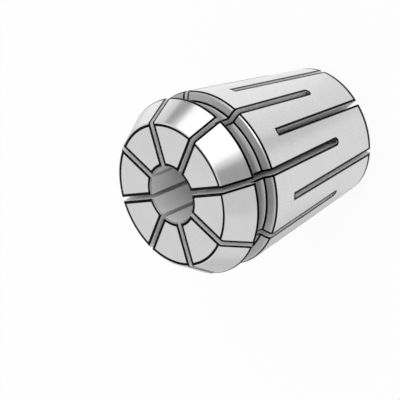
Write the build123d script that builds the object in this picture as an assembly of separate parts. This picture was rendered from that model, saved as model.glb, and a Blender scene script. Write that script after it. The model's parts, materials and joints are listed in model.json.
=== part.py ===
from build123d import *
import math
import os

os.makedirs("parts", exist_ok=True)

# Spring collet of the 8 degree type, size 32, in millimetres and degrees.
# It stands on its small rear face with the nose up. The origin is the centre
# of the rear face, and +Z runs along the axis to the nose.

# Overall sizes
length = 40.0
max_dia = 33.0  # the nose ring, and the large end of the rear taper
bore_dia = 10.5  # the tool shank that the collet grips

# Nose: a cone that the nut presses on, then a narrow cylindrical ring
nose_cone_length = 5.2
nose_half_angle = 30.0
ring_width = 0.3

# Groove behind the nose ring, where the nut's extracting lip sits
groove_width = 3.6  # along the flat floor
groove_depth = 1.9
groove_corner_radius = 0.4  # between the floor and the rear flank
groove_flank_angle = 25.0  # of the rear flank, from square to the axis

# Long rear taper that seats in the holder
taper_half_angle = 8.0
shoulder_radius = 0.8  # where the groove's rear flank runs into the taper

# Saw slots, cut from both ends by turns, through the wall into the bore
slots_per_end = 8
slot_width = 0.8
front_slot_stop = 10.0  # solid left between a front slot and the rear face
rear_slot_stop = 5.7  # solid left between a rear slot and the taper's large end

# Chamfer on the bore's mouths and on the rims of both end faces
end_chamfer = 0.2

# Heights above the rear face
ring_top = length - nose_cone_length
groove_top = ring_top - ring_width
groove_bottom = groove_top - groove_width
taper_top = groove_bottom - groove_depth * math.tan(math.radians(groove_flank_angle))

# Radii about the axis
max_radius = max_dia / 2
bore_radius = bore_dia / 2
floor_radius = max_radius - groove_depth
nose_radius = max_radius - nose_cone_length * math.tan(math.radians(nose_half_angle))
rear_radius = max_radius - taper_top * math.tan(math.radians(taper_half_angle))


def turned_blank():
    # Each corner of the half section: radius about the axis, height, rounding
    corners = [
        (bore_radius, 0, 0),
        (rear_radius, 0, 0),
        (max_radius, taper_top, shoulder_radius),
        (floor_radius, groove_bottom, groove_corner_radius),
        (floor_radius, groove_top, 0),
        (max_radius, groove_top, 0),
        (max_radius, ring_top, 0),
        (nose_radius, length, 0),
        (bore_radius, length, 0),
    ]
    points = [(radius, height) for radius, height, rounding in corners]
    roundings = [rounding for radius, height, rounding in corners]
    half_section = make_face(FilletPolyline(*points, radius=roundings, close=True))
    blank = revolve(Plane.XZ * half_section, Axis.Z)
    rims_by_height = blank.edges().filter_by(GeomType.CIRCLE).group_by(Axis.Z)
    return chamfer(rims_by_height[0] + rims_by_height[-1], end_chamfer)


def ring_of_slots(outline, first_angle):
    # The outline is drawn with X across the slot and Y up the axis
    slot = extrude(Plane.YZ * outline, amount=max_dia)
    return [place * slot for place in PolarLocations(0, slots_per_end, first_angle)]


def front_slots():
    # Open at the nose, with a full round at the closed end
    end_height = front_slot_stop + slot_width / 2
    run = Pos(0, end_height) * Rectangle(slot_width, length, align=(Align.CENTER, Align.MIN))
    round_end = Pos(0, end_height) * Circle(slot_width / 2)
    return ring_of_slots(run + round_end, 0)


def rear_slots():
    # Open at the rear face, square at the closed end, midway between the front slots
    closed_end = taper_top - rear_slot_stop
    run = Pos(0, closed_end) * Rectangle(slot_width, length, align=(Align.CENTER, Align.MAX))
    return ring_of_slots(run, 180 / slots_per_end)


collet = turned_blank() - front_slots() - rear_slots()
collet.label = "collet"
collet.color = Color(0.75, 0.76, 0.78)

export_step(collet, "parts/collet.step")
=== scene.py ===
import json
import math

import bmesh
import bpy
from mathutils import Matrix, Vector
from mathutils.bvhtree import BVHTree


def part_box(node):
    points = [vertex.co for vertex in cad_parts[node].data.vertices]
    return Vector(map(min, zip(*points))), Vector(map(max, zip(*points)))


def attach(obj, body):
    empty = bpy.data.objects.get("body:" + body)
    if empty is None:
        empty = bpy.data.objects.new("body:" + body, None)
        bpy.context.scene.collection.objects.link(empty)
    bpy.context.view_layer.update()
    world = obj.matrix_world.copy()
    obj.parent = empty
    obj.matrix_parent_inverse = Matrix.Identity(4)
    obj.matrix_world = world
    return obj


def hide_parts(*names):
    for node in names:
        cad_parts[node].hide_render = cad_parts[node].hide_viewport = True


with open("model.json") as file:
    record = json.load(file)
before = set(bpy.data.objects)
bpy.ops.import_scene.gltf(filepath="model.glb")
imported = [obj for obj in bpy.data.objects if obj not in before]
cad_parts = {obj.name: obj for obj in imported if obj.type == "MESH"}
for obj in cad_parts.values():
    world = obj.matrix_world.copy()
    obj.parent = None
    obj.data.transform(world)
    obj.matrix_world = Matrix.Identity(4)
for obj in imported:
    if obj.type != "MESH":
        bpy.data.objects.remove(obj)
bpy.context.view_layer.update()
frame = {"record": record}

mm = 0.001
same = 0.001  # points that are this close, in millimetres, are one
near = 0.01  # and what is this close to a height or a radius lies on it


class Wire:  # an output socket: Python's operators on it add Math nodes
    def __init__(self, tree, socket=None):
        self.tree = tree
        self.socket = socket

    def node(self, kind, settings={}, inputs={}, output=0):
        made = self.tree.nodes.new(kind)
        for name, value in settings.items():  # settings first: they can change the sockets
            setattr(made, name, value)
        for key, value in inputs.items():
            if isinstance(value, Wire):
                self.tree.links.new(value.socket, made.inputs[key])
            else:
                made.inputs[key].default_value = value
        return Wire(self.tree, made.outputs[output])

    def maths(self, operation, *values):
        return self.node("ShaderNodeMath", {"operation": operation}, dict(enumerate(values)))

    def __add__(self, other):
        return self.maths("ADD", self, other)

    def __radd__(self, other):
        return self.maths("ADD", other, self)

    def __sub__(self, other):
        return self.maths("SUBTRACT", self, other)

    def __rsub__(self, other):
        return self.maths("SUBTRACT", other, self)

    def __mul__(self, other):
        return self.maths("MULTIPLY", self, other)

    def __rmul__(self, other):
        return self.maths("MULTIPLY", other, self)

    def __truediv__(self, other):
        return self.maths("DIVIDE", self, other)

    def __rtruediv__(self, other):
        return self.maths("DIVIDE", other, self)

    def __abs__(self):
        return self.maths("ABSOLUTE", self)

    def part(self, axis):  # one component of a vector
        return self.node("ShaderNodeSeparateXYZ", inputs={0: self}, output=axis)

    def vector(self, x, y, z):
        return self.node("ShaderNodeCombineXYZ", inputs={0: x, 1: y, 2: z})

    def step(self, low, high, start=0.0, end=1.0):  # goes smoothly from start to end
        return self.node(
            "ShaderNodeMapRange",
            {"interpolation_type": "SMOOTHSTEP"},
            {0: self, 1: low, 2: high, 3: start, 4: end},
        )

    def noise(self, scale, detail):
        return self.node("ShaderNodeTexNoise", inputs={"Vector": self, "Scale": scale, "Detail": detail})

    def blend(self, first, second):  # a colour, mixed by this share
        return self.node(
            "ShaderNodeMix",
            {"data_type": "RGBA"},
            {0: self, 6: first, 7: second},
            output=2,
        )


# The collet's form, in millimetres and degrees. Length, largest and bore radius come from the frame.
colletForm = {
    "noseConeLength": 5.2,
    "noseHalfAngle": 30,
    "ringWidth": 0.3,
    "grooveWidth": 3.6,
    "grooveDepth": 1.9,
    "grooveRound": 0.4,
    "flankAngle": 25,
    "shoulderRound": 0.8,
    "taperHalfAngle": 8,
    "endChamfer": 0.2,
    "slotsPerEnd": 8,
    "slotWidth": 0.8,
    "frontSlotStop": 10.0,  # above the rear face
    "rearSlotStop": 5.7,  # below the taper's large end
    "columns": 144,  # none of them runs along a slot's edge
    "roundSegments": 8,
    "flatAngle": 0.2,  # faces that meet at less than this become one
    "sharpAngle": 40,  # an edge that turns more than this gets a chamfer or the edge break
    # The edge breaks and the dark lines, rings and strips below take the near-black edge finish: painted
    # shade along the sharp edges, round the slots, in the groove's corner and where the ground taper starts.
    "edgeBreak": 0.06,
    "breakSegments": 2,
    "coneLine": 0.22,  # how far the nose ring's dark band reaches up the cone
    "rimLine": 0.5,  # width of the dark ring on the nose face, inside its chamfer
    "boreLine": 0.5,  # and of the one round the bore's chamfer
    "rearLine": 0.75,  # height to which the one at the taper's small end reaches
    "flankLine": 0.35,  # reach of the one in the groove's corner, out from the floor
    "cornerStart": 22,  # rise from which the groove's corner is dark
    "shoulderLine": (10, 38),  # rise of the dark faces where the ground taper starts
    "flankStart": 60,  # rise from which the shoulder ends and the groove's flank starts
    "edgeMargin": 0.36,  # dark strip on the outer surfaces beside each edge break
    "noseMargin": 0.12,  # more of it on the nose face, which the camera sees at a slant
    "cornerSlack": 0.02,  # a corner there may lie this much short of its strip's width
    "ringSlack": 0.2,  # and this far past the two dark rings
    "cutterStart": 4.5,  # from the axis, inside the bore
    "cutterEnd": 20.0,
    "cutterSpare": 5.0,  # past the end faces
}


def slope(degrees):
    return math.tan(math.radians(degrees))


def colletHeights(form):
    low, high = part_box("collet")
    mounts = {mount["name"]: mount for mount in frame["record"]["mounts"]}
    form["length"] = high.z / mm
    form["maxRadius"] = round(high.x / mm, 1)
    form["boreRadius"] = mounts["shank_bore"]["dims"]["r_mm"]
    form["ringTop"] = form["length"] - form["noseConeLength"]
    form["grooveTop"] = form["ringTop"] - form["ringWidth"]
    form["grooveBottom"] = form["grooveTop"] - form["grooveWidth"]
    form["taperTop"] = form["grooveBottom"] - form["grooveDepth"] * slope(form["flankAngle"])
    form["floorRadius"] = form["maxRadius"] - form["grooveDepth"]
    form["noseRadius"] = form["maxRadius"] - form["noseConeLength"] * slope(form["noseHalfAngle"])
    form["rearRadius"] = form["maxRadius"] - form["taperTop"] * slope(form["taperHalfAngle"])
    form["coneLineRadius"] = form["maxRadius"] - form["coneLine"] * slope(form["noseHalfAngle"])
    form["rimLineRadius"] = form["noseRadius"] - form["endChamfer"] - form["rimLine"]
    form["boreLineRadius"] = form["boreRadius"] + form["endChamfer"] + form["boreLine"]
    form["rearLineRadius"] = form["rearRadius"] + form["rearLine"] * slope(form["taperHalfAngle"])
    form["flankLineRadius"] = form["floorRadius"] + form["flankLine"]
    form["flankLineHeight"] = form["grooveBottom"] - form["flankLine"] * slope(form["flankAngle"])


def turnedBlank(form):
    bm = bmesh.new()
    corners = [
        ("boreRadius", 0),
        ("rearRadius", 0),
        ("rearLineRadius", form["rearLine"]),
        ("maxRadius", form["taperTop"]),
        ("flankLineRadius", form["flankLineHeight"]),
        ("floorRadius", form["grooveBottom"]),
        ("floorRadius", form["grooveTop"]),
        ("maxRadius", form["grooveTop"]),
        ("maxRadius", form["ringTop"]),
        ("coneLineRadius", form["ringTop"] + form["coneLine"]),
        ("noseRadius", form["length"]),
        ("rimLineRadius", form["length"]),
        ("boreLineRadius", form["length"]),
        ("boreRadius", form["length"]),
    ]
    section = [bm.verts.new((form[radius] * mm, 0, height * mm)) for radius, height in corners]
    for first, second in zip(section, section[1:] + section[:1]):
        bm.edges.new((first, second))
    halfColumn = Matrix.Rotation(math.pi / form["columns"], 3, "Z")
    bmesh.ops.rotate(bm, verts=bm.verts, cent=(0, 0, 0), matrix=halfColumn)
    bmesh.ops.spin(
        bm,
        geom=bm.verts[:] + bm.edges[:],
        cent=(0, 0, 0),
        axis=(0, 0, 1),
        angle=math.tau,
        steps=form["columns"],
        use_merge=True,
    )
    bmesh.ops.remove_doubles(bm, verts=bm.verts, dist=same * mm)
    bmesh.ops.recalc_face_normals(bm, faces=bm.faces)
    roundRings(bm, form["maxRadius"], form["taperTop"], form["shoulderRound"], form)
    roundRings(bm, form["floorRadius"], form["grooveBottom"], form["grooveRound"], form)
    for height in (0, form["length"]):
        rims = [e for e in edgesAt(bm, height) if isRing(e) and isSharp(e, form)]
        breakEdges(bm, rims, form["endChamfer"], segments=1)
    return bm


def edgesAt(bm, height):
    return [e for e in bm.edges if all(abs(v.co.z / mm - height) < near for v in e.verts)]


def isRing(edge):
    first, second = [v.co.xy.length for v in edge.verts]
    return abs(first - second) < same * mm


def isSharp(edge, form):  # and turns outwards
    return edge.calc_face_angle_signed(0) > math.radians(form["sharpAngle"])


def roundRings(bm, radius, height, rounding, form):
    ring = [e for e in edgesAt(bm, height) if all(abs(v.co.xy.length / mm - radius) < near for v in e.verts)]
    turn = ring[0].calc_face_angle()
    breakEdges(bm, ring, rounding * math.tan(turn / 2), form["roundSegments"])


def breakEdges(bm, edges, width, segments):
    return bmesh.ops.bevel(
        bm,
        geom=edges,
        offset=width * mm,
        offset_type="OFFSET",
        segments=segments,
        profile=0.5,
        affect="EDGES",
        material=-1,
        clamp_overlap=False,
    )["faces"]


def slotCutters(form):
    bm = bmesh.new()
    addSlots(bm, form, form["frontSlotStop"], form["length"] + form["cutterSpare"], turn=0, roundEnd=True)
    rearEnd = form["taperTop"] - form["rearSlotStop"]
    halfPitch = math.pi / form["slotsPerEnd"]
    addSlots(bm, form, -form["cutterSpare"], rearEnd, turn=halfPitch, roundEnd=False)
    return bm


def addSlots(bm, form, bottom, top, turn, roundEnd):
    cutter = bmesh.new()
    bmesh.ops.create_cube(cutter, size=1)
    reach = form["cutterEnd"] - form["cutterStart"]
    size = (reach * mm, form["slotWidth"] * mm, (top - bottom) * mm)
    bmesh.ops.scale(cutter, vec=size, verts=cutter.verts)
    middle = ((form["cutterStart"] + reach / 2) * mm, 0, (top + bottom) / 2 * mm)
    bmesh.ops.translate(cutter, vec=middle, verts=cutter.verts)
    if roundEnd:
        lower = edgesAt(cutter, bottom)
        alongSlot = [e for e in lower if abs(e.verts[0].co.y - e.verts[1].co.y) < near * mm]
        breakEdges(cutter, alongSlot, form["slotWidth"] / 2, form["roundSegments"])
        bmesh.ops.remove_doubles(cutter, verts=cutter.verts, dist=same * mm)
    for i in range(form["slotsPerEnd"]):
        turned = Matrix.Rotation(turn + i * math.tau / form["slotsPerEnd"], 3, "Z")
        copy = cutter.copy()
        bmesh.ops.rotate(copy, verts=copy.verts, cent=(0, 0, 0), matrix=turned)
        mesh = bpy.data.meshes.new("slotCutter")
        copy.to_mesh(mesh)
        bm.from_mesh(mesh)
        bpy.data.meshes.remove(mesh)
        copy.free()
    cutter.free()


def newObject(name, bm):
    mesh = bpy.data.meshes.new(name)
    bmesh.ops.recalc_face_normals(bm, faces=bm.faces)
    bm.to_mesh(mesh)
    bm.free()
    piece = bpy.data.objects.new(name, mesh)
    bpy.context.scene.collection.objects.link(piece)
    return piece


def appliedMesh(piece):
    bpy.context.view_layer.update()
    evaluated = piece.evaluated_get(bpy.context.evaluated_depsgraph_get())
    return bpy.data.meshes.new_from_object(evaluated)


zones = ["taper", "cone", "face", "groove", "floor", "shoulder", "mouth", "bore", "slot", "edge"]

# Least shares of a face's normal, sideways, upright or towards the axis, by which these faces are known.
# One facet on each side of a slot's round end falls between the first two, and counts as the taper's.
facing = {"slotWall": 0.5, "slotEnd": 0.9, "chamfer": 0.6, "bore": 0.9}
slotEndDepth = 1.0  # millimetres by which the middle of a slot's end lies inside the groove's floor, at least


# Faces of the edge zone are painted near-black: painted shade along the edges, in the groove's corner and on
# the shoulder's round.
def zoneOf(face, form):
    middle = face.calc_center_median()
    radius = middle.xy.length / mm
    height = middle.z / mm
    outward = middle.xy.normalized()
    sideways = abs(face.normal.x * outward.y - face.normal.y * outward.x)
    radial = face.normal.xy.dot(outward)
    upright = abs(face.normal.z)
    fromEnd = min(height, form["length"] - height)
    inside = fromEnd > form["endChamfer"] and radius < form["floorRadius"] - slotEndDepth
    if sideways > facing["slotWall"] or (upright > facing["slotEnd"] and inside):
        return "slot"
    if fromEnd < near:
        return "face" if form["boreLineRadius"] < radius < form["rimLineRadius"] else "edge"
    if fromEnd < form["endChamfer"] and upright > facing["chamfer"]:
        if radius < form["boreRadius"] + form["endChamfer"]:
            return "mouth"
        return "cone" if height > form["ringTop"] else "edge"
    if radial < -facing["bore"]:
        return "bore"
    if form["grooveTop"] + near < height < form["ringTop"] + form["coneLine"]:
        return "edge"
    if height > form["ringTop"]:
        return "cone"
    if height < form["rearLine"]:
        return "edge"
    if height < form["taperTop"] - form["shoulderRound"]:
        return "taper"
    rise = math.degrees(math.asin(face.normal.z))
    if radius < form["flankLineRadius"]:
        return "edge" if rise > form["cornerStart"] else "floor"
    if rise > form["flankStart"] or height > form["grooveTop"] - near:
        return "groove"
    low, high = form["shoulderLine"]
    if low < rise < high:
        return "edge"
    return "taper" if rise < low else "shoulder"


def getsBreak(edge, form):
    sides = {zones[face.material_index] for face in edge.link_faces}
    if sides & {"bore", "mouth"} or sides == {"face", "edge"}:
        return False
    return isSharp(edge, form)


def isRingFoot(face, form):  # the edge break between the nose ring and the groove
    middle = face.calc_center_median()
    reach = form["edgeBreak"] + near
    low = abs(middle.z / mm - form["grooveTop"]) < reach
    return low and middle.xy.length / mm > form["maxRadius"] - reach


def widenNoseStrips(bm, form):  # moves the strips' inner corners farther from each slot
    reach = form["slotWidth"] / 2 + form["edgeBreak"] + form["edgeMargin"]
    wider = reach + form["noseMargin"]
    onNose = [v for v in bm.verts if abs(v.co.z / mm - form["length"]) < same]
    innermost = form["boreLineRadius"] - form["ringSlack"]
    outermost = form["rimLineRadius"] + form["ringSlack"]
    for i in range(form["slotsPerEnd"]):
        angle = i * math.tau / form["slotsPerEnd"]
        along = Vector((math.cos(angle), math.sin(angle), 0))
        aside = Vector((-math.sin(angle), math.cos(angle), 0))
        for vert in onNose:
            radius = vert.co.dot(along) / mm
            distance = vert.co.dot(aside) / mm
            inRing = innermost < radius < outermost
            if inRing and reach - form["cornerSlack"] < abs(distance) < wider:
                vert.co += aside * (math.copysign(wider, distance) - distance) * mm


def makeCollet(form):
    blank = newObject("slottedCollet", turnedBlank(form))
    cutters = newObject("slotCutters", slotCutters(form))
    saw = blank.modifiers.new("saw", "BOOLEAN")
    saw.operation = "DIFFERENCE"
    saw.solver = "EXACT"
    saw.object = cutters
    bm = bmesh.new()
    bm.from_mesh(appliedMesh(blank))
    blank.modifiers.clear()
    bpy.data.objects.remove(cutters)
    bmesh.ops.remove_doubles(bm, verts=bm.verts, dist=same * mm)
    for face in bm.faces:
        face.material_index = zones.index(zoneOf(face, form))
    flat = math.radians(form["flatAngle"])
    bmesh.ops.dissolve_limit(bm, angle_limit=flat, verts=bm.verts, edges=bm.edges, delimit={"MATERIAL"})
    addPaintedShadeStrips(bm, form)
    for edge in bm.edges:
        sides = {zones[face.material_index] for face in edge.link_faces}
        edge.smooth = sides not in ({"bore", "slot"}, {"mouth", "slot"})
    bmesh.ops.remove_doubles(bm, verts=bm.verts, dist=same * mm)
    for face in bm.faces:
        face.smooth = True
    print("collet:", len(bm.faces), "faces,", len([e for e in bm.edges if not e.is_manifold]), "open edges")
    bm.to_mesh(blank.data)
    bm.free()
    weigh = blank.modifiers.new("evenShading", "WEIGHTED_NORMAL")
    weigh.mode = "FACE_AREA_WITH_ANGLE"
    weigh.keep_sharp = True
    blank.data = appliedMesh(blank)
    blank.data.name = "slottedCollet"
    blank.modifiers.clear()
    return blank


# Painted shade: the edge breaks and the margins beside them take the near-black edge finish.
def addPaintedShadeStrips(bm, form):  # the edge breaks, and a margin beside them on the outer surfaces
    sharp = [e for e in bm.edges if getsBreak(e, form)]
    broken = breakEdges(bm, sharp, form["edgeBreak"], form["breakSegments"])
    ringFoot = {face for face in broken if isRingFoot(face, form)}
    for face in ringFoot:
        face.material_index = zones.index("groove")
    strips = set(broken) - ringFoot
    inner = ("mouth", "bore", "slot")
    outside = [f for f in bm.faces if f not in strips and zones[f.material_index] not in inner]
    surface = BVHTree.FromBMesh(bm)
    margin = bmesh.ops.inset_region(
        bm,
        faces=outside,
        thickness=form["edgeMargin"] * mm,
        use_boundary=True,
        use_even_offset=True,
    )
    strips.update(margin["faces"])
    for face in strips:
        face.material_index = zones.index("edge")
        for vert in face.verts:  # the inset moves them off the round surface
            vert.co = surface.find_nearest(vert.co)[0]
    widenNoseStrips(bm, form)


# Steel finishes: grey, metal, roughness, and the fine lines that each tool leaves. Lines by height run
# round the collet's sides, and those by radius run round its face. Their depth is in millimetres. Some
# greys are painted shade and light, as marked beside them.
finishes = {
    "taper": {"grey": 0.72, "metal": 1.0, "roughness": 0.28, "lines": "height", "perMm": 8, "depth": 0.0006},
    "cone": {"grey": 0.74, "metal": 1.0, "roughness": 0.18, "lines": "height", "perMm": 16, "depth": 0.0008},
    "face": {"grey": 0.74, "metal": 1.0, "roughness": 0.34, "lines": "radius", "perMm": 9, "depth": 0.0018},
    # The groove's walls and its floor are one turned steel in a shaded and a lit copy: the walls are painted
    # darker than the ground steel, as shade in the groove, and the floor lighter than the walls, against the
    # shade at the groove's bottom.
    "groove": {"grey": 0.45, "metal": 1.0, "roughness": 0.42, "lines": "height", "perMm": 8, "depth": 0.0025},
    "floor": {"grey": 0.75, "metal": 1.0, "roughness": 0.42, "lines": "height", "perMm": 8, "depth": 0.0025},
    # the shoulder's round is painted darker than the ground taper beside it, as shade on it
    "shoulder": {"grey": 0.5, "metal": 1.0, "roughness": 0.25, "lines": "height", "perMm": 8, "depth": 0.001},
    "mouth": {"grey": 0.38, "metal": 1.0, "roughness": 0.42, "lines": "height", "perMm": 8, "depth": 0.0015},
    "bore": {"grey": 0.78, "metal": 0.3, "roughness": 0.5, "lines": "height", "perMm": 12, "depth": 0.0015},
    # the slot walls' grey is set above the steel's: painted light against the shade in the narrow slots
    "slot": {"grey": 0.83, "metal": 0.6, "roughness": 0.6, "lines": "height", "perMm": 6, "depth": 0.003},
    # painted shade: near-black lines along the sharp edges, round the slots, in the groove's corner and where
    # the ground taper starts
    "edge": {"grey": 0.003, "metal": 1.0, "roughness": 0.45, "lines": "height", "perMm": 10, "depth": 0.0015},
}

# How each finish varies from place to place
steelVariation = {
    "drift": 0.6,  # how much a line changes on its way round
    "lines": {"scale": 1.0, "detail": 3.0},
    "grain": {"scale": 5.0, "detail": 3.0},
    "cloud": {"scale": 0.25, "detail": 2.0},
    "toneShares": (0.4, 0.35, 0.25),  # of lines, grain and cloud
    "toneRange": (0.35, 0.65),
    "light": (1.03, 1.035),  # times the grey, and a little more for blue
    "dark": (0.96, 0.965),
    "roughShares": (0.5, 0.5),  # of lines and grain
    "roughRange": (0.3, 0.7),
    "roughSpread": 0.03,
    "grainHeight": 0.3,  # against the lines
}


def steel(name, finish, vary):
    material = bpy.data.materials.new(name + "Steel")
    material.use_nodes = True
    tree = material.node_tree
    shader = tree.nodes["Principled BSDF"]
    wire = Wire(tree)
    place = wire.node("ShaderNodeTexCoord", output="Object")
    x, y, z = [place.part(i) / mm for i in range(3)]
    radius = wire.maths("SQRT", x * x + y * y)
    along = radius if finish["lines"] == "radius" else z
    around = wire.vector(along * finish["perMm"], x / radius * vary["drift"], y / radius * vary["drift"])
    lines = around.noise(**vary["lines"])
    grain = wire.vector(x, y, z).noise(**vary["grain"])
    cloud = wire.vector(x, y, z).noise(**vary["cloud"])
    grey = finish["grey"]
    light, dark = [(grey * tint, grey * tint, grey * blue, 1) for tint, blue in (vary["light"], vary["dark"])]
    lineShare, grainShare, cloudShare = vary["toneShares"]
    tone = (lines * lineShare + grain * grainShare + cloud * cloudShare).step(*vary["toneRange"])
    tree.links.new(tone.blend(dark, light).socket, shader.inputs["Base Color"])
    lineShare, grainShare = vary["roughShares"]
    least, most = finish["roughness"] - vary["roughSpread"], finish["roughness"] + vary["roughSpread"]
    roughness = (lines * lineShare + grain * grainShare).step(*vary["roughRange"], least, most)
    tree.links.new(roughness.socket, shader.inputs["Roughness"])
    relief = lines + grain * vary["grainHeight"]
    bump = wire.node(
        "ShaderNodeBump",
        inputs={"Strength": 1.0, "Distance": finish["depth"] * mm, "Height": relief},
    )
    tree.links.new(bump.socket, shader.inputs["Normal"])
    shader.inputs["Metallic"].default_value = finish["metal"]
    return material


# The camera, as the drawing's view was found from its edges: angles in degrees, places in millimetres
cameraView = {
    "azimuth": 12.217,
    "elevation": 40.266,
    "roll": -113.38,
    "distance": 462.3,  # from the middle of the nose face
    "aside": 5.144,
    "above": -0.881,
    "lens": 233.3,
    "sensor": 36.0,
    "clip": (0.01, 10),  # in metres
}


def makeCamera(view, height):
    turn, rise = math.radians(view["azimuth"]), math.radians(view["elevation"])
    back = Vector((math.sin(turn) * math.cos(rise), -math.cos(turn) * math.cos(rise), math.sin(rise)))
    levelRight = Vector((math.cos(turn), math.sin(turn), 0))
    rolled = Matrix.Rotation(math.radians(view["roll"]), 3, back)
    right = rolled @ levelRight
    up = back.cross(right)
    data = bpy.data.cameras.new("camera")
    data.lens = view["lens"]
    data.sensor_width = view["sensor"]
    data.clip_start, data.clip_end = view["clip"]
    camera = bpy.data.objects.new("camera", data)
    bpy.context.scene.collection.objects.link(camera)
    camera.matrix_world = Matrix((right, up, back)).transposed().to_4x4()
    camera.location = Vector((0, 0, height)) + (
        right * view["aside"] + up * view["above"] + back * view["distance"]
    ) * mm
    bpy.context.scene.camera = camera


floorLook = {
    "radius": 300.0,
    "segments": 96,
    "grey": 0.95,
    "roughness": 0.8,
    "whiteShare": 0.9,  # of plain white in what is seen of it: the rest keeps the shadow
}

# Soft panels of light and shade, on the floor and in the sky, which the camera itself doesn't see. All is
# in degrees: a panel's turn round the axis, counted from the camera, half its width, the width of its soft
# edge, and its lowest and highest rise. A panel's level is its brightness, and later ones lie over earlier.
floorLevel = 0.93
floorPanels = {
    "brightSide": {"turn": 100, "half": 50, "soft": 45, "level": 1.1},
    "darkSide": {"turn": -130, "half": 40, "soft": 50, "level": 0.66},
    # near the axis this one is weaker: a quarter up to 10 mm from it, and whole from 28 mm
    "darkStrip": {"turn": 10, "half": 8, "soft": 12, "level": 0.66, "fade": (10, 28, 0.25)},
    "behind": {"turn": 162, "half": 16, "soft": 16, "level": 0.8},
}
skyLevel = 0.85
skyPanels = {
    "dimFront": {"turn": -40, "half": 18, "low": 4, "high": 36, "soft": 8, "level": 0.74},
    "whiteSide": {"turn": 52, "half": 38, "low": 1, "high": 60, "soft": 4, "level": 1.4},
    "darkFront": {"turn": -8, "half": 14, "low": 4, "high": 36, "soft": 6, "level": 0.42},
    "top": {"turn": 0, "half": 200, "low": 58, "high": 100, "soft": 16, "level": 0.7},
    "darkEdge": {"turn": 100, "half": 8, "low": -5, "high": 3, "soft": 3, "level": 0.34},
    "key": {"turn": 34, "half": 18, "low": 34, "high": 62, "soft": 12, "level": 3.2},
}


def turnFrom(wire, x, y, turn):  # degrees round the axis from a panel's middle
    middle = math.radians(cameraView["azimuth"] - 90 + turn)
    ahead = x * math.cos(middle) + y * math.sin(middle)
    aside = y * math.cos(middle) - x * math.sin(middle)
    return abs(wire.maths("DEGREES", wire.maths("ARCTAN2", aside, ahead)))


def withinTurn(wire, x, y, panel):  # 1 on a panel, and 0 where its soft edge has ended
    soft = panel["soft"] / 2
    return turnFrom(wire, x, y, panel["turn"]).step(panel["half"] + soft, panel["half"] - soft)


def makeSky():
    world = bpy.data.worlds.new("studio")
    bpy.context.scene.world = world
    world.use_nodes = True
    tree = world.node_tree
    wire = Wire(tree)
    way = wire.node("ShaderNodeTexCoord", output="Generated")
    x, y, z = [way.part(i) for i in range(3)]
    rise = wire.maths("DEGREES", wire.maths("ARCSINE", z))
    level = skyLevel
    for panel in skyPanels.values():
        soft = panel["soft"] / 2
        within = withinTurn(wire, x, y, panel)
        within = within * rise.step(panel["low"] - soft, panel["low"] + soft)
        within = within * rise.step(panel["high"] + soft, panel["high"] - soft)
        level = level + within * (panel["level"] - level)
    seen = wire.node("ShaderNodeLightPath", output="Is Camera Ray")
    level = level + seen * (1.0 - level)  # the panels light the steel, and the camera sees white
    tree.links.new(level.socket, tree.nodes["Background"].inputs["Strength"])
    tree.nodes["Background"].inputs["Color"].default_value = (1, 1, 1, 1)


def makeFloor(look):
    bm = bmesh.new()
    bmesh.ops.create_circle(bm, cap_ends=True, segments=look["segments"], radius=look["radius"] * mm)
    floor = newObject("floor", bm)
    material = bpy.data.materials.new("floorWhite")
    material.use_nodes = True
    tree = material.node_tree
    wire = Wire(tree)
    shader = tree.nodes["Principled BSDF"]
    shader.inputs["Base Color"].default_value = (look["grey"], look["grey"], look["grey"], 1)
    shader.inputs["Roughness"].default_value = look["roughness"]
    rays = ("Is Camera Ray", "Is Glossy Ray", "Is Transmission Ray")
    camera, glossy, through = [wire.node("ShaderNodeLightPath", output=ray) for ray in rays]
    share = wire.maths("MINIMUM", camera + glossy + through, 1.0) * look["whiteShare"]
    place = wire.node("ShaderNodeTexCoord", output="Object")
    x, y = place.part(0), place.part(1)
    far = wire.maths("SQRT", x * x + y * y) / mm
    level = floorLevel
    for panel in floorPanels.values():
        within = withinTurn(wire, x, y, panel)
        if "fade" in panel:
            within = within * far.step(*panel["fade"])
        level = level + within * (panel["level"] - level)
    white = wire.node("ShaderNodeEmission", inputs={"Strength": 1.0 + glossy * (level - 1.0)})
    mixed = wire.node("ShaderNodeMixShader", inputs={0: share, 1: Wire(tree, shader.outputs[0]), 2: white})
    tree.links.new(mixed.socket, tree.nodes["Material Output"].inputs["Surface"])
    floor.data.materials.append(material)


colletHeights(colletForm)
collet = makeCollet(colletForm)
for zone in zones:
    collet.data.materials.append(steel(zone, finishes[zone], steelVariation))
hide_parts("collet")
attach(collet, "root")
print("collet made")

makeCamera(cameraView, colletForm["length"] * mm)
makeSky()
makeFloor(floorLook)
bpy.context.scene.view_settings.view_transform = "Standard"
print("stage made")
